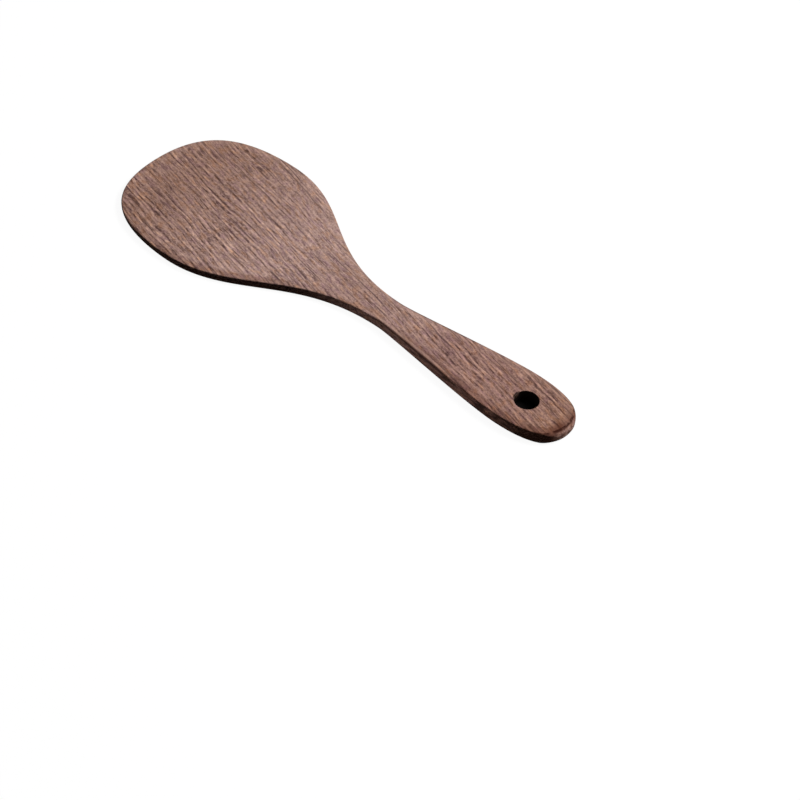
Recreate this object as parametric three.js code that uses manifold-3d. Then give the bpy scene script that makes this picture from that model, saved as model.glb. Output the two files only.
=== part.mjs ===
// A wooden rice paddle cut from one board: a broad round blade, a slim neck and a flat handle
// with a hole to hang it by. Millimetres, +Z up. The blade's tip points along -X and the handle's
// end along +X. The flat underside lies on Z = 0, and the origin is under the middle of the length.

import * as THREE from 'three';
import { mergeVertices } from 'three/addons/utils/BufferGeometryUtils.js';
import Module from 'manifold-3d';

// Lengths along the paddle, parted at the narrowest place of the neck
const BLADE_LENGTH = 128.9;
const HANDLE_LENGTH = 88.1;
const BLADE_WIDEST_FROM_TIP = 42.8;
const HANDLE_WIDEST_FROM_END = 25;

// Widths at the blade's widest, at the neck and at the handle's widest
const BLADE_WIDTH = 76;
const NECK_WIDTH = 13.5;
const HANDLE_WIDTH = 27.7;

// The board thins evenly from the handle's end to the blade's tip
const TIP_THICKNESS = 2.5;
const END_THICKNESS = 5.2;

// Sanded edges: narrow along the sides, and rounder over a short reach at the tip and at the end.
// Under the blade the rounding grows over a longer reach, so that the tip has a thin lip.
const EDGE_ROUND = 0.4;
const TIP_ROUND = 0.7;
const TIP_ROUND_REACH = 14;
const TIP_UNDER_ROUND = 2;
const TIP_UNDER_ROUND_REACH = 55;
const END_ROUND = 2.2;
const END_ROUND_REACH = 6;

// The hole drilled for hanging
const HOLE_DIAMETER = 9.5;
const HOLE_FROM_END = 20.4;
const HOLE_COUNTERSINK = 0.3;

// How long each curve keeps to its tangent where it leaves or meets a place,
// as a share of the span that it crosses
const PULL = {
  tip: 0.62,
  blade: { towardsTip: 0.76, towardsNeck: 0.405 },
  neck: { towardsBlade: 0.5, towardsHandle: 0.12 },
  handle: { towardsNeck: 0.24, towardsEnd: 0.99 },
  end: 0.24,
};

// The most that the upper and the lower rounding together may take of the board's thickness
const MOST_ROUND_SHARE = 0.95;

// Fineness of the facets
const STEPS_PER_CURVE = 20;
const STEPS_PER_EDGE = 4;
const STEPS_AROUND_HOLE = 40;

// What follows from those sizes
const PADDLE_LENGTH = BLADE_LENGTH + HANDLE_LENGTH;
const TIP_X = -PADDLE_LENGTH / 2;
const END_X = PADDLE_LENGTH / 2;
const HOLE_X = END_X - HOLE_FROM_END;

const WENGE = new THREE.MeshStandardMaterial({
  name: 'wenge, sanded and oiled',
  color: 0x94756b,
  roughness: 0.62,
  metalness: 0,
});

const wasm = await Module();
wasm.setup();

// The four spans of one side's outline, from the tip to the handle's end.
// Each is a cubic curve: start, the pull on leaving it, the pull on arriving, end.
function sideSpans() {
  const blade = { x: TIP_X + BLADE_WIDEST_FROM_TIP, y: BLADE_WIDTH / 2 };
  const neck = { x: TIP_X + BLADE_LENGTH, y: NECK_WIDTH / 2 };
  const handle = { x: END_X - HANDLE_WIDEST_FROM_END, y: HANDLE_WIDTH / 2 };
  const shoulder = neck.x - blade.x;
  const flare = handle.x - neck.x;
  return [
    [
      [TIP_X, 0],
      [TIP_X, PULL.tip * blade.y],
      [blade.x - PULL.blade.towardsTip * BLADE_WIDEST_FROM_TIP, blade.y],
      [blade.x, blade.y],
    ],
    [
      [blade.x, blade.y],
      [blade.x + PULL.blade.towardsNeck * shoulder, blade.y],
      [neck.x - PULL.neck.towardsBlade * shoulder, neck.y],
      [neck.x, neck.y],
    ],
    [
      [neck.x, neck.y],
      [neck.x + PULL.neck.towardsHandle * flare, neck.y],
      [handle.x - PULL.handle.towardsNeck * flare, handle.y],
      [handle.x, handle.y],
    ],
    [
      [handle.x, handle.y],
      [handle.x + PULL.handle.towardsEnd * HANDLE_WIDEST_FROM_END, handle.y],
      [END_X, PULL.end * handle.y],
      [END_X, 0],
    ],
  ];
}

// The whole outline: out along the +Y side and back along its mirror image.
function paddleOutline() {
  const spans = sideSpans();
  const outline = new THREE.Shape();
  outline.moveTo(TIP_X, 0);
  for (const [, leaving, arriving, end] of spans) {
    outline.bezierCurveTo(...leaving, ...arriving, ...end);
  }
  const mirrored = ([x, y]) => [x, -y];
  for (const [start, leaving, arriving] of spans.reverse()) {
    outline.bezierCurveTo(...mirrored(arriving), ...mirrored(leaving), ...mirrored(start));
  }
  return outline;
}

function thicknessAt(x) {
  return THREE.MathUtils.mapLinear(x, TIP_X, END_X, TIP_THICKNESS, END_THICKNESS);
}

// How far the upper and the lower edge are rounded over at a place along the paddle.
// Where the board is too thin for both, they shrink together.
function edgeRoundsAt(x) {
  const { smoothstep } = THREE.MathUtils;
  const tipShare = (reach) => 1 - smoothstep(x, TIP_X, TIP_X + reach);
  const endShare = smoothstep(x, END_X - END_ROUND_REACH, END_X);
  const sides = EDGE_ROUND + (END_ROUND - EDGE_ROUND) * endShare;
  const upper = sides + (TIP_ROUND - EDGE_ROUND) * tipShare(TIP_ROUND_REACH);
  const lower = sides + (TIP_UNDER_ROUND - EDGE_ROUND) * tipShare(TIP_UNDER_ROUND_REACH);
  const fit = Math.min(1, (MOST_ROUND_SHARE * thicknessAt(x)) / (upper + lower));
  return { upper: upper * fit, lower: lower * fit };
}

// The rings of points that the board's edge is drawn through, from the rim of the underside up the wall
// to the rim of the upper face. Each is the outline, drawn in and lifted by its part of the rounding.
function edgeRings() {
  const outline = paddleOutline().getPoints(STEPS_PER_CURVE);
  outline.pop();
  const inward = outline.map((_, i) => {
    const along = outline.at((i + 1) % outline.length).clone().sub(outline.at(i - 1)).normalize();
    return new THREE.Vector2(along.y, -along.x);
  });
  const ringAt = (turn, edge) => outline.map((point, i) => {
    const round = edgeRoundsAt(point.x)[edge];
    const { x, y } = point.clone().addScaledVector(inward[i], round * (1 - Math.sin(turn)));
    const rise = round * (1 - Math.cos(turn));
    return new THREE.Vector3(x, y, edge === 'upper' ? thicknessAt(x) - rise : rise);
  });
  const turns = Array.from({ length: STEPS_PER_EDGE + 1 }, (_, k) => (k / STEPS_PER_EDGE) * (Math.PI / 2));
  return [
    ...turns.map((turn) => ringAt(turn, 'lower')),
    ...turns.reverse().map((turn) => ringAt(turn, 'upper')),
  ];
}

// The board cut to its outline, with every edge rounded over: the rings joined by a wall, and a flat
// face in the first and in the last of them.
function boardGeometry() {
  const rings = edgeRings();
  const count = rings[0].length;
  const faces = [];
  for (let k = 0; k + 1 < rings.length; k += 1) {
    for (let i = 0; i < count; i += 1) {
      const next = (i + 1) % count;
      const [low, lowNext] = [k * count + i, k * count + next];
      const [high, highNext] = [low + count, lowNext + count];
      faces.push([low, high, lowNext], [lowNext, high, highNext]);
    }
  }
  const lastRing = (rings.length - 1) * count;
  for (const [a, b, c] of THREE.ShapeUtils.triangulateShape(rings[0], [])) {
    faces.push([c, b, a]);
  }
  for (const face of THREE.ShapeUtils.triangulateShape(rings.at(-1), [])) {
    faces.push(face.map((i) => lastRing + i));
  }
  return new THREE.BufferGeometry().setFromPoints(rings.flat()).setIndex(faces.flat());
}

// Lowers the upper half of a body that is as thick as the handle's end onto the sloping upper face.
function slopeTop(geometry) {
  const place = geometry.getAttribute('position');
  for (let i = 0; i < place.count; i += 1) {
    if (place.getZ(i) > END_THICKNESS / 2) {
      place.setZ(i, place.getZ(i) - END_THICKNESS + thicknessAt(place.getX(i)));
    }
  }
  return geometry;
}

// What the drill and the countersink take away, turned about the hole's axis. At each face
// the profile opens at 45 degrees, and it runs on past the face by the countersink's depth.
function holeCutterGeometry() {
  const bore = HOLE_DIAMETER / 2;
  const sink = Math.min(HOLE_COUNTERSINK, (MOST_ROUND_SHARE / 2) * thicknessAt(HOLE_X));
  const profile = [
    [0, -sink],
    [bore + 2 * sink, -sink],
    [bore, sink],
    [bore, END_THICKNESS - sink],
    [bore + 2 * sink, END_THICKNESS + sink],
    [0, END_THICKNESS + sink],
  ].map(([radius, height]) => new THREE.Vector2(radius, height));
  const cutter = new THREE.LatheGeometry(profile, STEPS_AROUND_HOLE);
  cutter.rotateX(Math.PI / 2);
  return slopeTop(cutter.translate(HOLE_X, 0, 0));
}

function toSolid(geometry) {
  geometry.deleteAttribute('normal');
  geometry.deleteAttribute('uv');
  const merged = mergeVertices(geometry);
  return new wasm.Manifold(new wasm.Mesh({
    numProp: 3,
    vertProperties: new Float32Array(merged.getAttribute('position').array),
    triVerts: new Uint32Array(merged.getIndex().array),
  }));
}

function toGeometry(solid) {
  const { vertProperties, triVerts } = solid.getMesh();
  const geometry = new THREE.BufferGeometry();
  geometry.setAttribute('position', new THREE.BufferAttribute(vertProperties, 3));
  geometry.setIndex(new THREE.BufferAttribute(triVerts, 1));
  geometry.computeVertexNormals();
  return geometry;
}

const paddleSolid = toSolid(boardGeometry()).subtract(toSolid(holeCutterGeometry()));
const paddle = new THREE.Mesh(toGeometry(paddleSolid), WENGE);
paddle.name = 'rice_paddle';

const part = new THREE.Group();
part.add(paddle);

export default part;
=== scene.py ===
"""A wooden rice paddle lying on a white table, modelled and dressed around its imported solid."""

import logging
import math
from collections.abc import Callable, Mapping, Sequence
from dataclasses import dataclass, field
from enum import Enum

import bpy
from bpy.types import Material, MeshEdge, MeshPolygon, Node, NodeSocket, NodeTree, Object
from mathutils import Matrix, Vector


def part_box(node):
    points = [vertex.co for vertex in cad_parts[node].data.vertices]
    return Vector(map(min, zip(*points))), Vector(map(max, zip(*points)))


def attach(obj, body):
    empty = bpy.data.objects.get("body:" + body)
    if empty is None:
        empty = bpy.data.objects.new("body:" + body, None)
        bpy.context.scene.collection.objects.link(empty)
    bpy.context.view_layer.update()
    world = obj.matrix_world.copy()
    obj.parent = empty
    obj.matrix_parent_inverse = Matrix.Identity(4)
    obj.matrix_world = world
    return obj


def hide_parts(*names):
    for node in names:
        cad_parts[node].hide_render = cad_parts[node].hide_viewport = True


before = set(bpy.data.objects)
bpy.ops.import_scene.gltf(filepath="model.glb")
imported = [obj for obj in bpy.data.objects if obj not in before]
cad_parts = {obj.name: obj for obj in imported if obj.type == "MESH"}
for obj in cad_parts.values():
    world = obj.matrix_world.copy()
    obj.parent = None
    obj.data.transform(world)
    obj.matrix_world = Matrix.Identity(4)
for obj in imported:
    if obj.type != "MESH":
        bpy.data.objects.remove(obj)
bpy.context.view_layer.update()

MM = 0.001
WHITE = "#ffffff"

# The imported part's names for the paddle
NODE = "rice_paddle"
BODY = "root"

# The point attribute that tells how near the outline's arris is
EDGE = "edge_nearness"

# At this scale a wave texture repeats once in each unit of length.
WAVE_PERIOD = math.pi / 10

# The middle of a noise texture's range
MID_TONE = 0.5

# Points nearer than this touch.
TOUCHING = 0.01 * MM

# A face whose normal is at least this upright lies in a broad face of the board.
LEVEL_NORMAL = 0.9995

log = logging.getLogger("rice_paddle")


class Face(Enum):
    """The two broad faces of the board, by the way each one looks along Z."""

    UPPER = 1
    LOWER = -1


class Pick(Enum):
    """What is selected in edit mode, by Blender's names."""

    EDGES = "EDGE"
    FACES = "FACE"


class LampRole(Enum):
    """The lamps of the studio, by what each one lights."""

    KEY = "key_lamp"
    OVERHEAD = "overhead_lamp"
    GRIP = "grip_lamp"


class LampKind(Enum):
    """The two shapes of lamp, by Blender's names."""

    SOFTBOX = "AREA"
    SNOOT = "SPOT"


def linear(hex_colour: str) -> tuple[float, float, float, float]:
    """Turns an sRGB hex colour into Blender's linear colour.

    Args:
        hex_colour: The colour as "#rrggbb".

    Returns:
        Linear red, green and blue, and full opacity.
    """
    channels = [int(hex_colour[i:i + 2], 16) / 255 for i in (1, 3, 5)]
    red, green, blue = (c / 12.92 if c <= 0.04045 else ((c + 0.055) / 1.055) ** 2.4 for c in channels)
    return red, green, blue, 1.0


def smoothstep(value: float, start: float, end: float) -> float:
    """Rises smoothly from 0 to 1 as a value goes from start to end.

    Args:
        value: The value.
        start: Where the rise starts.
        end: Where it ends.

    Returns:
        The share of the rise that is behind the value.
    """
    share = min(max((value - start) / (end - start), 0.0), 1.0)
    return share * share * (3 - 2 * share)


def add_node(
    tree: NodeTree,
    kind: str,
    inputs: Sequence[object] | Mapping[str, object] = (),
    stops: Sequence[tuple[float, str]] = (),
    **settings: object,
) -> Node:
    """Adds a node, sets its properties, and fills or links its inputs.

    Args:
        tree: The node tree that takes the node.
        kind: The shader node's type name, without the "ShaderNode" that it starts with.
        inputs: A constant, an output or a node for each input, in order or by name. A node stands for its
            first output.
        stops: The place and sRGB hex colour of each stop, on a node that holds a colour ramp.
        **settings: The node's own properties.

    Returns:
        The new node.
    """
    node = tree.nodes.new(f"ShaderNode{kind}")
    for name, value in settings.items():
        setattr(node, name, value)
    for place, colour in stops:
        stop = node.color_ramp.elements.new(place)
        stop.color = linear(colour)
    if stops:
        node.color_ramp.elements.remove(node.color_ramp.elements[-1])
        node.color_ramp.elements.remove(node.color_ramp.elements[0])
    shown = [socket for socket in node.inputs if socket.enabled]
    for key, value in inputs.items() if isinstance(inputs, Mapping) else enumerate(inputs):
        socket = node.inputs[key] if isinstance(key, str) else shown[key]
        if isinstance(value, Node):
            value = next(output for output in value.outputs if output.enabled)
        if isinstance(value, NodeSocket):
            tree.links.new(value, socket)
        else:
            socket.default_value = value
    return node


def new_material(name: str) -> tuple[Material, NodeTree]:
    """Makes a material with an empty node tree.

    Args:
        name: The material's name.

    Returns:
        The material and its tree.
    """
    material = bpy.data.materials.new(name)
    material.use_nodes = True
    material.node_tree.nodes.clear()
    return material, material.node_tree


def deselect_all() -> None:
    """Leaves object mode's selection empty."""
    bpy.ops.object.select_all(action="DESELECT")


def make_active(piece: Object) -> None:
    """Selects one object alone and makes it the active one.

    Args:
        piece: The object.
    """
    deselect_all()
    piece.select_set(True)
    bpy.context.view_layer.objects.active = piece


def edge_ends(piece: Object, edge: MeshEdge) -> list[Vector]:
    """Gives the places of an edge's two ends."""
    return [piece.data.vertices[i].co for i in edge.vertices]


def select(piece: Object, pick: Pick, wanted: Callable[[MeshEdge | MeshPolygon], bool]) -> None:
    """Selects the edges or the faces that pass a test, in edit mode.

    Args:
        piece: The object in edit mode.
        pick: Whether edges or faces are meant.
        wanted: Says of one of them whether it is selected.
    """
    bpy.ops.mesh.select_mode(type=pick.value)
    bpy.ops.mesh.select_all(action="DESELECT")
    bpy.ops.object.mode_set(mode="OBJECT")
    for element in piece.data.edges if pick is Pick.EDGES else piece.data.polygons:
        element.select = wanted(element)
    bpy.ops.object.mode_set(mode="EDIT")


@dataclass(frozen=True)
class GrainLines:
    """One set of lines along the grain: their length and width, how much they add, and which set it is."""

    length: float
    width: float
    amount: float
    seed: float

    def draw(self, tree: NodeTree, grain: Node) -> Node:
        """Draws the lines, as noise stretched along the grain.

        Args:
            tree: The material's tree.
            grain: Gives the place in the wood, with the grain along X.

        Returns:
            The node that gives the lines' tone, about 0.5 in the middle.
        """
        stretched = add_node(tree, "VectorMath", (
            grain, (1 / self.length, 1 / self.width, 1 / self.width)), operation="MULTIPLY")
        return add_node(tree, "TexNoise", {
            "Vector": stretched, "W": self.seed, "Scale": 1.0, "Detail": 0.0}, noise_dimensions="4D")


@dataclass(frozen=True)
class Dashes:
    """Lines that show only where their tone is high, so that they break up into dashes of one colour."""

    lines: GrainLines
    colour: str
    fades_in: tuple[float, float] = (0.56, 0.69)

    def draw(self, tree: NodeTree, grain: Node) -> Node:
        """Draws the dashes.

        Args:
            tree: The material's tree.
            grain: Gives the place in the wood, with the grain along X.

        Returns:
            The node that gives how much of their colour shows.
        """
        return add_node(tree, "MapRange", (
            self.lines.draw(tree, grain), *self.fades_in, 0.0, self.lines.amount),
            interpolation_type="SMOOTHSTEP")


@dataclass(frozen=True)
class Hole:
    """The hanging hole: where its axis stands along the length, and its radius."""

    x: float
    radius: float


@dataclass(frozen=True)
class Surface:
    """What the finish asks about a point of the board, each as a node or an output of one tree.

    Attributes:
        tree: The material's tree.
        place: The place in the object's coordinates.
        x: The place along the length.
        y: The place across the length.
        facing_end: How far the surface faces the handle's end.
        upright: How far it faces straight up or straight down.
        depth: The depth below the upper face.
        edge: The nearness of the outline's arris.
        grain: The place in the wood, with the grain along X.
        near_side: 1 on the -Y side, 0 on the +Y side.
        on_top: 1 on the upper face, 0 below it.
        at_end: 1 at the handle's end, 0 away from it.
    """

    tree: NodeTree
    place: NodeSocket
    x: NodeSocket
    y: NodeSocket
    facing_end: NodeSocket
    upright: Node
    depth: Node
    edge: NodeSocket
    grain: Node
    near_side: Node
    on_top: Node
    at_end: Node


@dataclass(frozen=True)
class WengeFinish:
    """Wenge, sanded along the grain and wiped with oil.

    The eye gets a dull brown ground in close growth layers, crowded with short dark and pale lines that
    run aslant to the tool, open pores as fine dark dashes, and arrises that oil and hands have darkened.
    """

    name: str = "wenge_sanded_and_oiled"

    # The way of the grain, and how far aside it wanders
    grain_angle: float = math.radians(14.5)
    sways: Sequence[GrainLines] = (
        GrainLines(42 * MM, 13 * MM, 4.0 * MM, 1.0),
        GrainLines(11 * MM, 5 * MM, 1.0 * MM, 2.0),
    )

    # Growth layers in two spacings, beaded along the grain and stronger in some patches than in others.
    # They are weaker at the neck and towards the far edge, and a little stronger at the handle's end.
    layer_tilt: float = math.radians(35)
    layer_spacings: Sequence[float] = (1.5 * MM, 2.1 * MM)
    layer_run: float = 13 * MM
    layer_sway: float = 4.4
    layer_sharpness: float = 0.6
    layer_mean: float = 0.62
    layer_amount: float = 0.275
    layer_patches: GrainLines = GrainLines(28 * MM, 7 * MM, 1.0, 11.0)
    patch_tones: tuple[float, float] = (0.35, 0.6)
    patch_share: float = 0.5
    layer_beads: GrainLines = GrainLines(2.0 * MM, 1.0 * MM, 1.0, 13.0)
    bead_tones: tuple[float, float] = (0.34, 0.66)
    bead_shares: tuple[float, float] = (0.2, 1.8)
    calm_x: float = -5 * MM
    calm_reach: tuple[float, float] = (18 * MM, 56 * MM)
    calm_share: float = 0.6
    far_fade: tuple[float, float] = (-35 * MM, 20 * MM)
    far_share: float = 0.8
    end_fade: tuple[float, float] = (50 * MM, 95 * MM)
    end_share: float = 1.1

    # The ground's colours from dark to pale, and the lines that vary its tone
    ground: Sequence[tuple[float, str]] = (
        (0.20, "#67504c"),
        (0.38, "#8d7169"),
        (0.50, "#a98c83"),
        (0.62, "#bf9f94"),
        (0.80, "#debaa8"),
    )
    figure: Sequence[GrainLines] = (
        GrainLines(22 * MM, 1.1 * MM, 0.12, 3.0),
        GrainLines(5 * MM, 0.85 * MM, 0.16, 4.0),
        GrainLines(1.8 * MM, 0.75 * MM, 0.24, 5.0),
        GrainLines(0.65 * MM, 0.55 * MM, 0.40, 6.0),
    )

    # Real pore lines are about 0.2 mm wide, under a pixel here, so they are drawn three times as wide.
    pores: Dashes = Dashes(GrainLines(6 * MM, 0.65 * MM, 0.33, 7.0), "#503d3d")
    pale_lines: Dashes = Dashes(GrainLines(5 * MM, 0.65 * MM, 0.26, 8.0), "#d1ab9a")
    veins: Dashes = Dashes(GrainLines(30 * MM, 0.7 * MM, 0.6, 9.0), "#4a3838", (0.65, 0.74))

    # Patches of a warmer and of a cooler brown
    tint: GrainLines = GrainLines(3.5 * MM, 1.6 * MM, 1.0, 10.0)
    tints: Sequence[tuple[tuple[float, float], str]] = (
        ((0.53, 0.70), "#fff3e4"),
        ((0.47, 0.30), "#f1ecf8"),
    )

    # The tone along the length: darker at the blade's front and at the grip than in the middle,
    # and a little paler again at the very tip.
    length_tone: Sequence[tuple[float, str]] = (
        (0.02, "#eae2db"),
        (0.08, "#ddd4cc"),
        (0.34, "#ffffff"),
        (0.42, "#ffffff"),
        (0.47, "#f3f0ee"),
        (0.63, "#e9e6e5"),
        (0.73, "#d7cdcb"),
        (0.93, "#dfd2ca"),
        (0.974, "#dccdbf"),
        (0.988, "#a98d80"),
        (1.00, "#a5908e"),
    )

    # Painted shade: a darker band inside the -Y edge, weaker at the tip and at the neck.
    # Painted light: a paler band inside the +Y edge.
    top_face_depth: tuple[float, float] = (0.5 * MM, 0.2 * MM)
    near_edge_shade_colour: str = "#dbd1cc"
    near_side_ramp: tuple[float, float] = (1 * MM, -1 * MM)
    painted_edge_reach: tuple[float, float] = (0.0, 0.6)
    near_shade_from: tuple[float, float] = (-100 * MM, -50 * MM)
    near_shade_gap_x: float = 5 * MM
    near_shade_gap: tuple[float, float] = (15 * MM, 32 * MM)
    near_shade_gap_share: float = 0.3
    far_light_amount: float = 0.1

    # Arrises: a thin oiled line where a face turns over, deepest where the fingers hold the neck,
    # and a pale line that they have rubbed beside it
    arris_colour: str = "#2e0f07"
    arris_upright: tuple[float, float] = (0.3, 0.75)
    arris_narrowness: float = 18.0
    arris_amount: float = 0.08
    held_amount: float = 0.68
    held_depth: tuple[float, float] = (1.2 * MM, 0.6 * MM)
    held_from: tuple[float, float] = (12 * MM, 22 * MM)
    held_to: tuple[float, float] = (62 * MM, 52 * MM)
    rubbed_and_lit_colour: str = "#dcb8a6"
    rubbed_near: tuple[float, float] = (0.62, 0.74)
    rubbed_amount: float = 0.22

    # The handle's wall cuts across the pores, which have drunk oil in dark blotches.
    blotches: Dashes = Dashes(GrainLines(9 * MM, 1.8 * MM, 0.7, 12.0), "#120a08", (0.5, 0.62))
    wall_upright: tuple[float, float] = (0.6, 0.3)
    blotched_from: tuple[float, float] = (40 * MM, 62 * MM)

    # The handle's end shows end grain, which drinks more oil: the wood is browner up to its edge,
    # and a broken dark line follows that edge.
    end_reach: tuple[float, float] = (14 * MM, 4 * MM)
    soak_colour: str = "#6b4436"
    soak_amount: float = 0.4
    line_from: tuple[float, float] = (0.01, 0.08)
    line_to: tuple[float, float] = (0.62, 0.4)
    line_amount: float = 0.92
    line_breaks: float = 3.0 * MM
    line_fades_in: tuple[float, float] = (0.32, 0.46)

    # Painted shade: the drilled wall is blackened, but for a brown crescent under the rim on the blade's
    # side, where the rim itself is darkened.
    bore_shade_colour: str = "#070403"
    bore_shade_amounts: tuple[float, float] = (0.8, 0.99)
    bore_depth: tuple[float, float] = (-1.2 * MM, 0.1 * MM)
    spared_way: float = math.radians(8)
    spared_facing: tuple[float, float] = (0.85, 0.97)
    spared_depth: float = 2.4 * MM
    bore_margin: float = 0.2 * MM
    dark_rim_from: tuple[float, float] = (0.0, 0.15 * MM)
    dark_rim_to: tuple[float, float] = (0.8 * MM, 0.45 * MM)
    dark_rim_amount: float = 0.93

    # The sanded surface: matt, with the pores a little open
    pore_depth: float = 0.08 * MM
    relief: float = 0.5
    roughness: float = 0.75
    specular: float = 0.04
    ior: float = 1.5

    def grain_place(self, tree: NodeTree, place: NodeSocket) -> Node:
        """Turns the object's coordinates so that X runs with the grain, which wanders a little on its way.

        Args:
            tree: The material's tree.
            place: The place in the object's coordinates.

        Returns:
            The node that gives the place in the wood.
        """
        turned = add_node(tree, "Mapping", {"Vector": place, "Rotation": (0, 0, self.grain_angle)})
        grain = turned
        for sway in self.sways:
            aside = add_node(tree, "Math", (
                sway.draw(tree, turned), sway.amount, -MID_TONE * sway.amount), operation="MULTIPLY_ADD")
            across = add_node(tree, "CombineXYZ", {"Y": aside})
            grain = add_node(tree, "VectorMath", (grain, across), operation="ADD")
        return grain

    def survey(self, tree: NodeTree, low: Vector, high: Vector, tops: tuple[float, float]) -> Surface:
        """Gathers what the finish asks about a point of the board.

        Args:
            tree: The material's tree.
            low: The board's lowest corner.
            high: The board's highest corner.
            tops: The height of the upper face at the tip and at the handle's end.

        Returns:
            The surface's nodes and outputs.
        """
        coordinates = add_node(tree, "TexCoord")
        place = coordinates.outputs["Object"]
        spot = add_node(tree, "SeparateXYZ", (place,))
        x = spot.outputs["X"]
        y = spot.outputs["Y"]
        tilt = add_node(tree, "SeparateXYZ", (coordinates.outputs["Normal"],))
        edge = add_node(tree, "Attribute", attribute_name=EDGE)
        top = add_node(tree, "MapRange", (x, low.x, high.x, *tops))
        depth = add_node(tree, "Math", (top, spot.outputs["Z"]), operation="SUBTRACT")
        end_places = (high.x - reach for reach in self.end_reach)
        return Surface(
            tree=tree,
            place=place,
            x=x,
            y=y,
            facing_end=tilt.outputs["X"],
            upright=add_node(tree, "Math", (tilt.outputs["Z"],), operation="ABSOLUTE"),
            depth=depth,
            edge=edge.outputs["Fac"],
            grain=self.grain_place(tree, place),
            near_side=add_node(tree, "MapRange", (y, *self.near_side_ramp)),
            on_top=add_node(tree, "MapRange", (depth, *self.top_face_depth)),
            at_end=add_node(tree, "MapRange", (x, *end_places)),
        )

    def layers(self, wood: Surface) -> Node:
        """Draws the growth layers, as thin dark bands that wander and break up.

        Args:
            wood: The surface.

        Returns:
            The node that gives what the layers add to the tone.
        """
        tree = wood.tree
        tilted = add_node(tree, "Mapping", {"Vector": wood.grain, "Rotation": (self.layer_tilt, 0, 0)})
        bands = -self.layer_mean * len(self.layer_spacings)
        for spacing in self.layer_spacings:
            stretched = add_node(tree, "VectorMath", (
                tilted, (1 / self.layer_run, 1 / spacing, 1 / spacing)), operation="MULTIPLY")
            wave = add_node(tree, "TexWave", {
                "Vector": stretched, "Scale": WAVE_PERIOD, "Distortion": self.layer_sway, "Detail": 1.0,
                "Detail Scale": 1 / WAVE_PERIOD}, bands_direction="Y")
            thin = add_node(tree, "Math", (wave.outputs["Fac"], self.layer_sharpness), operation="POWER")
            bands = add_node(tree, "Math", (thin, bands), operation="ADD")

        off_neck = add_node(tree, "Math", (wood.x, self.calm_x), operation="SUBTRACT")
        off_neck = add_node(tree, "Math", (off_neck,), operation="ABSOLUTE")
        shares = (
            add_node(tree, "MapRange", (off_neck, *self.calm_reach, self.calm_share, 1.0)),
            add_node(tree, "MapRange", (wood.y, *self.far_fade, 1.0, self.far_share)),
            add_node(tree, "MapRange", (wood.x, *self.end_fade, 1.0, self.end_share)),
            add_node(tree, "MapRange", (
                self.layer_patches.draw(tree, wood.grain), *self.patch_tones, self.patch_share, 1.0)),
            add_node(tree, "MapRange", (
                self.layer_beads.draw(tree, wood.grain), *self.bead_tones, *self.bead_shares)),
        )
        strength = self.layer_amount
        for share in shares:
            strength = add_node(tree, "Math", (share, strength), operation="MULTIPLY")
        return add_node(tree, "Math", (bands, strength), operation="MULTIPLY")

    def tone(self, wood: Surface) -> Node:
        """Adds the layers and all the lines of the figure into one tone.

        Args:
            wood: The surface.

        Returns:
            The node that gives the tone, about 0.5 in the middle.
        """
        middle = MID_TONE - MID_TONE * sum(lines.amount for lines in self.figure)
        tone = add_node(wood.tree, "Math", (self.layers(wood), middle), operation="ADD")
        for lines in self.figure:
            tone = add_node(wood.tree, "Math", (
                lines.draw(wood.tree, wood.grain), lines.amount, tone), operation="MULTIPLY_ADD")
        return tone

    def tinted(self, wood: Surface, colour: Node) -> Node:
        """Lays warmer and cooler patches over the colour.

        Args:
            wood: The surface.
            colour: The colour so far.

        Returns:
            The node that gives the tinted colour.
        """
        patches = self.tint.draw(wood.tree, wood.grain)
        for fades_in, tint in self.tints:
            share = add_node(wood.tree, "MapRange", (patches, *fades_in))
            colour = add_node(wood.tree, "Mix", (share, colour, linear(tint)),
                              data_type="RGBA", blend_type="MULTIPLY")
        return colour

    def edge_shade_and_light(self, wood: Surface, colour: Node) -> Node:
        """Paints shade in a band inside the -Y edge, and paints light in a band inside the +Y edge.

        Args:
            wood: The surface.
            colour: The colour so far.

        Returns:
            The node that gives the colour with the two bands.
        """
        tree = wood.tree
        near = add_node(tree, "MapRange", (wood.edge, *self.painted_edge_reach), interpolation_type="SMOOTHSTEP")
        # Painted light: a paler band inside the +Y edge.
        far_light = add_node(tree, "MapRange", (wood.near_side, 1.0, 0.0, 0.0, self.far_light_amount))
        for mask in (near, wood.on_top):
            far_light = add_node(tree, "Math", (far_light, mask), operation="MULTIPLY")
        colour = add_node(tree, "Mix", (far_light, colour, linear(self.rubbed_and_lit_colour)), data_type="RGBA")

        # Painted shade: a darker band inside the -Y edge, weaker towards the tip and at the neck.
        off_tip = add_node(tree, "MapRange", (wood.x, *self.near_shade_from))
        off_neck = add_node(tree, "Math", (wood.x, self.near_shade_gap_x), operation="SUBTRACT")
        off_neck = add_node(tree, "Math", (off_neck,), operation="ABSOLUTE")
        dark = add_node(tree, "MapRange", (off_neck, *self.near_shade_gap, self.near_shade_gap_share, 1.0))
        for mask in (near, wood.near_side, off_tip, wood.on_top):
            dark = add_node(tree, "Math", (dark, mask), operation="MULTIPLY")
        return add_node(tree, "Mix", (dark, colour, linear(self.near_edge_shade_colour)),
                        data_type="RGBA", blend_type="MULTIPLY")

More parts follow.
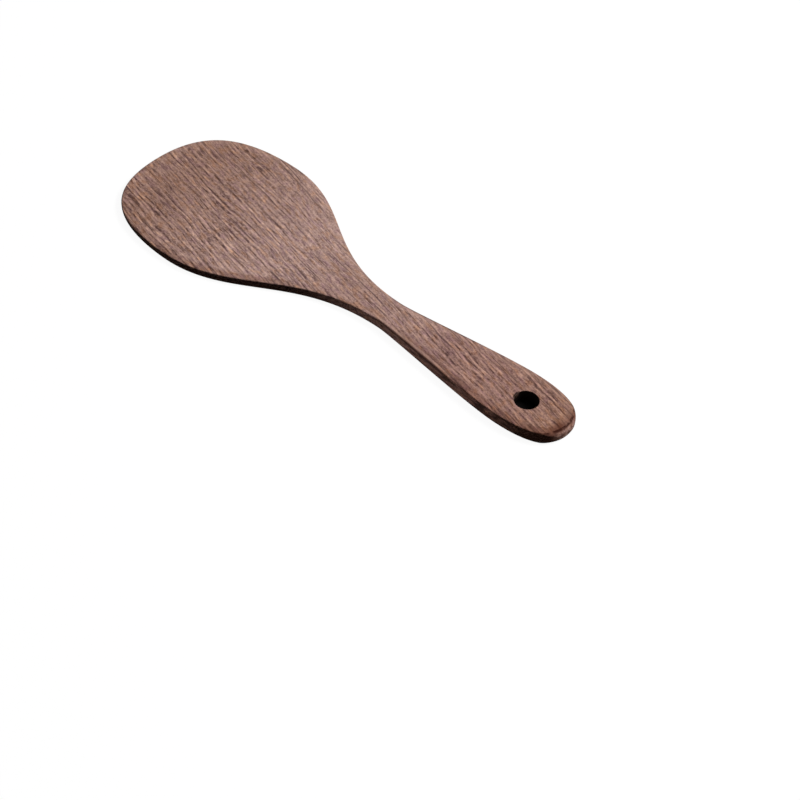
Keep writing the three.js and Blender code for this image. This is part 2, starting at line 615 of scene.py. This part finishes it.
    def oiled(self, wood: Surface, colour: Node) -> Node:
        """Darkens the arrises where oil and hands have soaked in, and pales the wood beside a held one.

        Args:
            wood: The surface.
            colour: The colour so far.

        Returns:
            The node that gives the colour with dark arrises.
        """
        tree = wood.tree
        taken_up = add_node(tree, "MapRange", (wood.x, *self.held_from))
        let_go = add_node(tree, "MapRange", (wood.x, *self.held_to))
        held = add_node(tree, "Math", (taken_up, let_go), operation="MULTIPLY")
        rubbed = add_node(tree, "MapRange", (wood.edge, *self.rubbed_near, 0.0, self.rubbed_amount))
        for mask in (held, wood.near_side, wood.on_top):
            rubbed = add_node(tree, "Math", (rubbed, mask), operation="MULTIPLY")
        colour = add_node(tree, "Mix", (rubbed, colour, linear(self.rubbed_and_lit_colour)), data_type="RGBA")

        turning = add_node(tree, "MapRange", (wood.upright, *self.arris_upright))
        line = add_node(tree, "Math", (wood.edge, turning), operation="MULTIPLY")
        line = add_node(tree, "Math", (line, self.arris_narrowness), operation="POWER")
        line = add_node(tree, "Math", (line, self.arris_amount), operation="MULTIPLY")
        ring = add_node(tree, "Math", (wood.edge, self.arris_narrowness), operation="POWER")
        grip = add_node(tree, "MapRange", (wood.depth, *self.held_depth, 0.0, self.held_amount))
        for mask in (held, ring):
            grip = add_node(tree, "Math", (grip, mask), operation="MULTIPLY")
        share = add_node(tree, "Math", (line, grip), operation="MAXIMUM")
        return add_node(tree, "Mix", (share, colour, linear(self.arris_colour)), data_type="RGBA")

    def blotched(self, wood: Surface, colour: Node) -> Node:
        """Darkens the handle's wall in blotches.

        Args:
            wood: The surface.
            colour: The colour so far.

        Returns:
            The node that gives the colour with a blotched wall.
        """
        tree = wood.tree
        wall = add_node(tree, "MapRange", (wood.upright, *self.wall_upright))
        handle = add_node(tree, "MapRange", (wood.x, *self.blotched_from))
        share = self.blotches.draw(tree, wood.grain)
        for mask in (wall, handle):
            share = add_node(tree, "Math", (share, mask), operation="MULTIPLY")
        return add_node(tree, "Mix", (share, colour, linear(self.blotches.colour)), data_type="RGBA")

    def end_grain(self, wood: Surface, colour: Node) -> Node:
        """Stains the end of the handle, where the wood shows its end grain.

        Args:
            wood: The surface.
            colour: The colour so far.

        Returns:
            The node that gives the colour with a stained end.
        """
        tree = wood.tree
        soak = add_node(tree, "Math", (wood.edge, wood.at_end), operation="MULTIPLY")
        soak = add_node(tree, "Math", (soak, self.soak_amount), operation="MULTIPLY")
        colour = add_node(tree, "Mix", (soak, colour, linear(self.soak_colour)), data_type="RGBA")

        noise = add_node(tree, "TexNoise", {
            "Vector": wood.place, "Scale": 1 / self.line_breaks, "Detail": 1.0})
        line = add_node(tree, "MapRange", (noise, *self.line_fades_in, 0.0, self.line_amount))
        begins = add_node(tree, "MapRange", (wood.facing_end, *self.line_from))
        ends = add_node(tree, "MapRange", (wood.facing_end, *self.line_to))
        for mask in (begins, ends, wood.at_end):
            line = add_node(tree, "Math", (line, mask), operation="MULTIPLY")
        return add_node(tree, "Mix", (line, colour, linear(self.arris_colour)), data_type="RGBA")

    def shade_bore(self, wood: Surface, colour: Node, hole: Hole) -> Node:
        """Paints shade into the wall of the hanging hole, and darkens its rim on the blade's side.

        Args:
            wood: The surface.
            colour: The colour so far.
            hole: The hanging hole.

        Returns:
            The node that gives the colour with a dark bore.
        """
        tree = wood.tree
        off_axis = add_node(tree, "VectorMath", (wood.place, (-hole.x, 0, 0)), operation="ADD")
        level = add_node(tree, "VectorMath", (off_axis, (1, 1, 0)), operation="MULTIPLY")
        radius = add_node(tree, "VectorMath", (level,), operation="LENGTH").outputs["Value"]
        outward = add_node(tree, "VectorMath", (level,), operation="NORMALIZE")
        way = (-math.cos(self.spared_way), -math.sin(self.spared_way), 0)
        facing = add_node(tree, "VectorMath", (outward, way), operation="DOT_PRODUCT")
        spared = add_node(tree, "MapRange", (facing.outputs["Value"], *self.spared_facing))

        # Painted shade: the bore's wall goes near-black, less so in a shallow crescent on the blade's
        # side.
        inside = add_node(tree, "Math", (radius, hole.radius + self.bore_margin), operation="LESS_THAN")
        below = add_node(tree, "Math", (spared, -self.spared_depth, wood.depth), operation="MULTIPLY_ADD")
        deep = add_node(tree, "MapRange", (below, *self.bore_depth, *self.bore_shade_amounts))
        bore_darkness = add_node(tree, "Math", (inside, deep), operation="MULTIPLY")

        # The rim on the blade's side is darkened as well.
        from_radii = (hole.radius + reach for reach in self.dark_rim_from)
        to_radii = (hole.radius + reach for reach in self.dark_rim_to)
        begins = add_node(tree, "MapRange", (radius, *from_radii))
        rim_darkness = add_node(tree, "MapRange", (radius, *to_radii, 0.0, self.dark_rim_amount))
        for mask in (begins, spared):
            rim_darkness = add_node(tree, "Math", (rim_darkness, mask), operation="MULTIPLY")
        share = add_node(tree, "Math", (bore_darkness, rim_darkness), operation="MAXIMUM")
        return add_node(tree, "Mix", (share, colour, linear(self.bore_shade_colour)), data_type="RGBA")

    def build(self, low: Vector, high: Vector, tops: tuple[float, float], hole: Hole) -> Material:
        """Makes the material.

        Args:
            low: The board's lowest corner.
            high: The board's highest corner.
            tops: The height of the upper face at the tip and at the handle's end.
            hole: The hanging hole.

        Returns:
            The finished material.
        """
        material, tree = new_material(self.name)
        wood = self.survey(tree, low, high, tops)
        tone = self.tone(wood)

        colour = add_node(tree, "ValToRGB", (tone,), stops=self.ground)
        colour = self.tinted(wood, colour)
        for dashes in (self.pale_lines, self.veins):
            colour = add_node(tree, "Mix", (
                dashes.draw(tree, wood.grain), colour, linear(dashes.colour)), data_type="RGBA")
        open_pores = self.pores.draw(tree, wood.grain)
        colour = add_node(tree, "Mix", (open_pores, colour, linear(self.pores.colour)), data_type="RGBA")
        length = add_node(tree, "MapRange", (wood.x, low.x, high.x))
        length_tone = add_node(tree, "ValToRGB", (length,), stops=self.length_tone)
        colour = add_node(tree, "Mix", (1.0, colour, length_tone), data_type="RGBA", blend_type="MULTIPLY")
        for treat in (self.edge_shade_and_light, self.oiled, self.blotched, self.end_grain):
            colour = treat(wood, colour)
        colour = self.shade_bore(wood, colour, hole)

        height = add_node(tree, "Math", (tone, open_pores), operation="SUBTRACT")
        bump = add_node(tree, "Bump", {
            "Strength": self.relief, "Distance": self.pore_depth, "Height": height})
        surface = add_node(tree, "BsdfPrincipled", {
            "Base Color": colour, "Roughness": self.roughness, "IOR": self.ior,
            "Specular IOR Level": self.specular, "Normal": bump})
        add_node(tree, "OutputMaterial", (surface,))
        return material


@dataclass(frozen=True)
class Station:
    """A place on the outline, the line's heading there, and how far each side keeps to it."""

    place: Vector
    heading: Vector
    pull_in: float
    pull_out: float

    def mirrored(self) -> "Station":
        """Gives the same place on the other side, as it is met on the way back.

        Returns:
            The mirrored station.
        """
        flip = Vector((1, -1, 1))
        back = Vector((-1, 1, 1))
        return Station(self.place * flip, self.heading * flip * back, self.pull_out, self.pull_in)


@dataclass(frozen=True)
class Pulls:
    """How long each curve of the outline keeps to its tangent, as a share of the span that it crosses."""

    tip: float = 0.62
    blade_to_tip: float = 0.76
    blade_to_neck: float = 0.405
    neck_to_blade: float = 0.5
    neck_to_handle: float = 0.12
    handle_to_neck: float = 0.24
    handle_to_end: float = 0.99
    end: float = 0.24


@dataclass
class Paddle:
    """The paddle: one board, cut to its outline, thinner towards the tip, with its edges sanded round."""

    # The frame's box for the board
    low: Vector
    high: Vector

    # The outline
    blade_widest_from_tip: float = 42.8 * MM
    neck_from_tip: float = 128.9 * MM
    handle_widest_from_end: float = 25.0 * MM
    neck_width: float = 13.5 * MM
    handle_width: float = 27.7 * MM
    pulls: Pulls = Pulls()

    # The thickness, and how far the edges are rounded over
    tip_thickness: float = 2.5 * MM
    end_thickness: float = 5.2 * MM
    edge_round: float = 0.4 * MM
    tip_round: float = 0.7 * MM
    tip_round_reach: float = 14.0 * MM
    tip_under_round: float = 2.0 * MM
    tip_under_round_reach: float = 55.0 * MM
    end_round: float = 2.2 * MM
    end_round_reach: float = 6.0 * MM
    most_round_share: float = 0.95

    # The hanging hole. The drill's length is in thicknesses of the board, centred on the underside.
    hole_radius: float = 4.75 * MM
    hole_from_end: float = 20.4 * MM
    drill_length: float = 4.0
    rim_round: float = 0.3 * MM
    rim_profile: float = 0.5

    # The mesh. The margin inside each broad face is where the nearness of the edge fades out.
    flat_margin: float = 3.8 * MM
    ring_gap: float = 1.0 * MM
    steps_per_span: int = 48
    steps_per_edge: int = 7
    steps_around_hole: int = 96
    smooth_angle: float = math.radians(35)
    flat_weight: int = 100

    finish: WengeFinish = field(default_factory=WengeFinish)
    name: str = "paddle_board"

    @property
    def hole(self) -> Hole:
        """The hanging hole, at its place along the length."""
        return Hole(self.high.x - self.hole_from_end, self.hole_radius)

    def top_at(self, x: float) -> float:
        """Gives the height of the upper face at a place along the length."""
        share = (x - self.low.x) / (self.high.x - self.low.x)
        return self.tip_thickness + share * (self.end_thickness - self.tip_thickness)

    def edge_rounds_at(self, x: float) -> dict[Face, float]:
        """Works out how far each face's edge is rounded over.

        Args:
            x: The place along the length.

        Returns:
            The rounding's size for each face. Where the board is too thin for both, they shrink together.
        """
        end_share = smoothstep(x, self.high.x - self.end_round_reach, self.high.x)
        upper_share = smoothstep(x, self.low.x + self.tip_round_reach, self.low.x)
        lower_share = smoothstep(x, self.low.x + self.tip_under_round_reach, self.low.x)
        sides = self.edge_round + (self.end_round - self.edge_round) * end_share
        upper = sides + (self.tip_round - self.edge_round) * upper_share
        lower = sides + (self.tip_under_round - self.edge_round) * lower_share
        fit = min(1.0, self.most_round_share * self.top_at(x) / (upper + lower))
        return {Face.UPPER: upper * fit, Face.LOWER: lower * fit}

    def stations(self) -> list[Station]:
        """Lists the outline's places in order.

        Returns:
            The places, from the tip along the +Y side to the handle's end and back.
        """
        forward = Vector((1, 0, 0))
        sideways = Vector((0, 1, 0))
        pulls = self.pulls
        half_blade = self.high.y
        half_handle = self.handle_width / 2
        blade_x = self.low.x + self.blade_widest_from_tip
        neck_x = self.low.x + self.neck_from_tip
        handle_x = self.high.x - self.handle_widest_from_end
        shoulder = neck_x - blade_x
        flare = handle_x - neck_x
        tip_pull = pulls.tip * half_blade
        end_pull = pulls.end * half_handle
        tip = Station(Vector((self.low.x, 0, 0)), sideways, tip_pull, tip_pull)
        end = Station(Vector((self.high.x, 0, 0)), -sideways, end_pull, end_pull)
        side = [
            Station(Vector((blade_x, half_blade, 0)), forward,
                    pulls.blade_to_tip * self.blade_widest_from_tip, pulls.blade_to_neck * shoulder),
            Station(Vector((neck_x, self.neck_width / 2, 0)), forward,
                    pulls.neck_to_blade * shoulder, pulls.neck_to_handle * flare),
            Station(Vector((handle_x, half_handle, 0)), forward,
                    pulls.handle_to_neck * flare, pulls.handle_to_end * self.handle_widest_from_end),
        ]
        return [tip, *side, end, *(station.mirrored() for station in reversed(side))]

    def draw_outline(self) -> Object:
        """Draws the closed outline as a curve and turns it into a ring of edges.

        Returns:
            The ring, as a mesh object.
        """
        deselect_all()
        bpy.ops.curve.primitive_bezier_circle_add(radius=self.high.y)
        bpy.ops.object.mode_set(mode="EDIT")
        bpy.ops.curve.select_all(action="SELECT")
        bpy.ops.curve.subdivide(number_cuts=1)
        bpy.ops.object.mode_set(mode="OBJECT")
        outline = bpy.context.object
        outline.data.resolution_u = self.steps_per_span
        for point, station in zip(outline.data.splines[0].bezier_points, self.stations(), strict=True):
            point.handle_left_type = "FREE"
            point.handle_right_type = "FREE"
            point.co = station.place
            point.handle_left = station.place - station.heading * station.pull_in
            point.handle_right = station.place + station.heading * station.pull_out
        bpy.ops.object.convert(target="MESH")
        outline = bpy.context.object
        outline.name = self.name
        return outline

    def raise_wall(self, board: Object) -> None:
        """Extrudes the outline upwards, with one ring of points for each step of the two rounded edges.

        Args:
            board: The ring of edges.
        """
        make_active(board)
        bpy.ops.object.mode_set(mode="EDIT")
        bpy.ops.mesh.select_all(action="SELECT")
        bpy.ops.mesh.remove_doubles(threshold=TOUCHING)
        for _ in range(2 * self.steps_per_edge + 1):
            bpy.ops.mesh.extrude_region_move(TRANSFORM_OT_translate={"value": (0, 0, self.ring_gap)})
        bpy.ops.mesh.select_all(action="SELECT")
        bpy.ops.mesh.normals_make_consistent(inside=False)
        bpy.ops.object.mode_set(mode="OBJECT")

    def round_over(self, board: Object) -> None:
        """Draws each ring in and sets it to its height, so that the wall rounds over into both faces.

        Args:
            board: The board's wall.
        """
        outward = [vertex.normal.copy() for vertex in board.data.vertices]
        for vertex, normal in zip(board.data.vertices, outward):
            step = round(vertex.co.z / self.ring_gap)
            face = Face.UPPER if step > self.steps_per_edge else Face.LOWER
            if face is Face.UPPER:
                step = 2 * self.steps_per_edge + 1 - step
            turn = math.radians(90) * step / self.steps_per_edge
            size = self.edge_rounds_at(vertex.co.x)[face]
            vertex.co -= normal * size * (1 - math.sin(turn))
            rise = size * (1 - math.cos(turn))
            vertex.co.z = self.top_at(vertex.co.x) - rise if face is Face.UPPER else rise

    def is_on(self, point: Vector, face: Face) -> bool:
        """Says whether a point lies on one of the broad faces."""
        height = self.top_at(point.x) if face is Face.UPPER else 0.0
        return abs(point.z - height) < TOUCHING

    def is_rim(self, point: Vector) -> bool:
        """Says whether a point lies on the wall of the hanging hole."""
        return abs((point.xy - Vector((self.hole.x, 0))).length - self.hole_radius) < TOUCHING

    def close_faces(self, board: Object) -> None:
        """Closes the two broad faces inside the first and the last ring.

        Args:
            board: The board's rounded wall.
        """
        bpy.ops.object.mode_set(mode="EDIT")
        for face in Face:
            select(board, Pick.EDGES, lambda edge, face=face: all(
                self.is_on(point, face) for point in edge_ends(board, edge)))
            bpy.ops.mesh.edge_face_add()
        bpy.ops.mesh.select_all(action="SELECT")
        bpy.ops.mesh.normals_make_consistent(inside=False)
        bpy.ops.object.mode_set(mode="OBJECT")

    def drill(self, board: Object) -> None:
        """Drills the hanging hole.

        Args:
            board: The closed board.
        """
        deselect_all()
        bpy.ops.mesh.primitive_cylinder_add(
            vertices=self.steps_around_hole, radius=self.hole_radius,
            depth=self.drill_length * self.end_thickness, location=(self.hole.x, 0, 0))
        drill_bit = bpy.context.object
        make_active(board)
        cut = board.modifiers.new("hanging_hole", "BOOLEAN")
        cut.operation = "DIFFERENCE"
        cut.object = drill_bit
        bpy.ops.object.modifier_apply(modifier=cut.name)
        make_active(drill_bit)
        bpy.ops.object.delete()

    def ease_rims(self, board: Object) -> None:
        """Rounds the hole's two rims, and sets a narrow margin inside each broad face.

        Args:
            board: The drilled board.
        """
        make_active(board)
        bpy.ops.object.mode_set(mode="EDIT")
        for face in Face:
            select(board, Pick.EDGES, lambda edge, face=face: all(
                self.is_on(point, face) and self.is_rim(point) for point in edge_ends(board, edge)))
            bpy.ops.mesh.bevel(offset=self.rim_round, segments=self.steps_per_edge,
                               profile=self.rim_profile, affect="EDGES", clamp_overlap=False)
        for face in Face:
            select(board, Pick.FACES, lambda polygon, face=face: (
                polygon.normal.z * face.value > LEVEL_NORMAL))
            bpy.ops.mesh.inset(thickness=self.flat_margin)
        bpy.ops.object.mode_set(mode="OBJECT")

    def mark_edges(self, board: Object) -> None:
        """Gives each point 1 where the surface leaves a broad face at the outline, and 0 elsewhere.

        Args:
            board: The board with its margins.
        """
        nearness = board.data.attributes.new(EDGE, "FLOAT", "POINT")
        axis = Vector((self.hole.x, 0))
        for polygon in board.data.polygons:
            off_axis = (polygon.center.xy - axis).length
            if abs(polygon.normal.z) < LEVEL_NORMAL and off_axis > self.hole_radius + self.rim_round:
                for index in polygon.vertices:
                    nearness.data[index].value = 1.0

    def smooth(self, board: Object) -> None:
        """Shades the rounded edges smooth and keeps the broad faces flat.

        Args:
            board: The finished mesh.
        """
        make_active(board)
        bpy.ops.object.shade_smooth_by_angle(angle=self.smooth_angle)
        weighted = board.modifiers.new("flat_faces", "WEIGHTED_NORMAL")
        weighted.mode = "FACE_AREA"
        weighted.weight = self.flat_weight
        weighted.keep_sharp = True
        bpy.ops.object.modifier_apply(modifier=weighted.name)

    def build(self) -> Object:
        """Makes the paddle, dresses it and puts it in the frame.

        Returns:
            The finished piece.
        """
        board = self.draw_outline()
        self.raise_wall(board)
        self.round_over(board)
        self.close_faces(board)
        self.drill(board)
        self.ease_rims(board)
        self.mark_edges(board)
        self.smooth(board)
        board.data.materials.clear()
        tops = (self.tip_thickness, self.end_thickness)
        board.data.materials.append(self.finish.build(self.low, self.high, tops, self.hole))
        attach(board, BODY)
        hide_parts(NODE)
        return board


@dataclass(frozen=True)
class Lamp:
    """A lamp, placed by its direction from the point that it shines on, with its angles in degrees."""

    role: LampRole
    kind: LampKind
    azimuth: float
    elevation: float
    distance: float
    width: float
    level: float
    colour: str = WHITE
    target: tuple[float, float, float] = (0.0, 0.0, 0.0)
    blend: float = 0.7
    bulb_radius: float = 20 * MM

    def build(self) -> None:
        """Hangs the lamp.

        Its power is set so that a white table at its target would look as bright as its level, where 1 is
        white.
        """
        turn = math.radians(self.azimuth)
        height = math.radians(self.elevation)
        away = Vector((
            math.cos(turn) * math.cos(height), math.sin(turn) * math.cos(height), math.sin(height)))
        deselect_all()
        bpy.ops.object.light_add(type=self.kind.value, location=Vector(self.target) + away * self.distance)
        lamp = bpy.context.object
        lamp.name = self.role.value
        lamp.rotation_euler = (-away).to_track_quat("-Z", "Y").to_euler()
        lamp.data.color = linear(self.colour)[:3]
        spread = math.pi * self.distance ** 2 / math.sin(height)
        if self.kind is LampKind.SOFTBOX:
            lamp.data.size = self.width
            lamp.data.energy = self.level * math.pi * spread
        else:
            lamp.data.spot_size = 2 * math.atan(self.width / 2 / self.distance)
            lamp.data.spot_blend = self.blend
            lamp.data.shadow_soft_size = self.bulb_radius
            lamp.data.energy = self.level * 4 * math.pi * spread
        log.info("%s: %.2f W", lamp.name, lamp.data.energy)


@dataclass
class Studio:
    """A white table, soft lamps from the back right, and a camera above the near side."""

    hole_x: float

    # The table: white to the eye, with a faint shadow. Below the hole it is painted dark, as painted
    # shade.
    table_width: float = 4.0
    table_gap: float = 0.1 * MM
    shade_radius: float = 8.0 * MM
    shade_colour: str = "#0e0d0d"
    shadow_share: float = 0.07
    glow: float = 0.94

    # The even light that fills the room
    sky_level: float = 0.022
    sky_colour: str = "#ffcfc8"

    # The camera
    azimuth: float = math.radians(35.593)
    elevation: float = math.radians(45.940)
    roll: float = math.radians(6.954)
    camera_distance: float = 827.28 * MM
    camera_target: tuple[float, float, float] = (51.543 * MM, -30.062 * MM, 0.0)
    focal_pixels: float = 2200.0
    image_pixels: float = 800.0
    sensor_width: float = 36.0
    clip_start: float = 10 * MM

    lamps: Sequence[Lamp] = (
        Lamp(LampRole.KEY, LampKind.SOFTBOX, azimuth=48, elevation=45, distance=2.5, width=0.8,
             level=0.82),
        Lamp(LampRole.OVERHEAD, LampKind.SOFTBOX, azimuth=90, elevation=70, distance=2.5, width=0.8,
             level=0.17),
        Lamp(LampRole.GRIP, LampKind.SNOOT, azimuth=-95, elevation=20, distance=0.5, width=0.1,
             level=0.072, colour="#fff0ea", target=(45 * MM, -10 * MM, 0.0)),
    )

    def white_to_the_eye(self, tree: NodeTree) -> Node:
        """Tells apart the rays that look at the background from those that light the paddle.

        Args:
            tree: The tree that asks.

        Returns:
            The node that gives 1 for a ray that looks.
        """
        rays = add_node(tree, "LightPath")
        looks = rays.outputs["Is Camera Ray"]
        for passed_on in ("Is Glossy Ray", "Is Transmission Ray"):
            looks = add_node(tree, "Math", (looks, rays.outputs[passed_on]), operation="MAXIMUM")
        return looks

    def table_material(self) -> Material:
        """Makes the table: it glows white to the eye, takes a faint shadow, and casts little light back.

        Returns:
            The table's material.
        """
        material, tree = new_material("white_table_matt_lacquer")
        place = add_node(tree, "TexCoord")
        # Painted shade: within shade_radius of the hole the eye sees the dark shade colour instead of
        # white.
        off_hole = add_node(tree, "VectorMath", (
            place.outputs["Object"], (self.hole_x, 0, 0)), operation="DISTANCE")
        in_the_open = add_node(tree, "Math", (
            off_hole.outputs["Value"], self.shade_radius), operation="GREATER_THAN")
        seen = add_node(tree, "Math", (self.white_to_the_eye(tree), in_the_open), operation="MULTIPLY")
        glow = add_node(tree, "Emission", {"Color": linear(WHITE), "Strength": self.glow})
        lit = add_node(tree, "BsdfDiffuse", {
            "Color": (self.shadow_share, self.shadow_share, self.shadow_share, 1.0)})
        white = add_node(tree, "AddShader", (glow, lit))
        shade = add_node(tree, "BsdfDiffuse", {"Color": linear(self.shade_colour)})
        shown = add_node(tree, "MixShader", (seen, shade, white))
        add_node(tree, "OutputMaterial", (shown,))
        return material

    def lay_table(self) -> None:
        """Lays the table under the paddle."""
        deselect_all()
        bpy.ops.mesh.primitive_plane_add(size=self.table_width, location=(0, 0, -self.table_gap))
        bpy.ops.object.transform_apply(location=True, rotation=True, scale=True)
        table = bpy.context.object
        table.name = "table"
        table.data.materials.append(self.table_material())

    def light(self) -> None:
        """Hangs the lamps and fills the room with a little even light, white only where the eye looks."""
        for lamp in self.lamps:
            lamp.build()
        world = bpy.data.worlds.new("studio")
        bpy.context.scene.world = world
        world.use_nodes = True
        tree = world.node_tree
        tree.nodes.clear()
        looks = self.white_to_the_eye(tree)
        level = add_node(tree, "MapRange", (looks, 0.0, 1.0, self.sky_level, 1.0))
        colour = add_node(tree, "Mix", (looks, linear(self.sky_colour), linear(WHITE)), data_type="RGBA")
        sky = add_node(tree, "Background", {"Color": colour, "Strength": level})
        add_node(tree, "OutputWorld", (sky,))

    def set_camera(self) -> None:
        """Sets the camera at the viewing angle, turned a little about its own axis."""
        right = Vector((math.cos(self.azimuth), math.sin(self.azimuth), 0))
        back = Vector((
            math.sin(self.azimuth) * math.cos(self.elevation),
            -math.cos(self.azimuth) * math.cos(self.elevation),
            math.sin(self.elevation)))
        level = Matrix((right, back.cross(right), back)).transposed()
        turned = level @ Matrix.Rotation(self.roll, 3, "Z")
        stand = Vector(self.camera_target) + back * self.camera_distance
        deselect_all()
        bpy.ops.object.camera_add()
        camera = bpy.context.object
        camera.name = "camera"
        camera.matrix_world = Matrix.Translation(stand) @ turned.to_4x4()
        camera.data.sensor_width = self.sensor_width
        camera.data.lens = self.focal_pixels / self.image_pixels * self.sensor_width
        camera.data.clip_start = self.clip_start
        bpy.context.scene.camera = camera

    def build(self) -> None:
        """Sets up the camera, the table and the lamps."""
        self.set_camera()
        self.lay_table()
        self.light()
        bpy.context.scene.view_settings.view_transform = "Standard"


def main() -> None:
    """Builds the paddle and the studio in order, and reports each piece."""
    logging.basicConfig(level=logging.INFO, format="%(name)s: %(message)s")
    low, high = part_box(NODE)
    paddle = Paddle(low, high)
    board = paddle.build()
    log.info("%s: %d faces", board.name, len(board.data.polygons))
    Studio(paddle.hole.x).build()


if __name__ == "__main__":
    main()
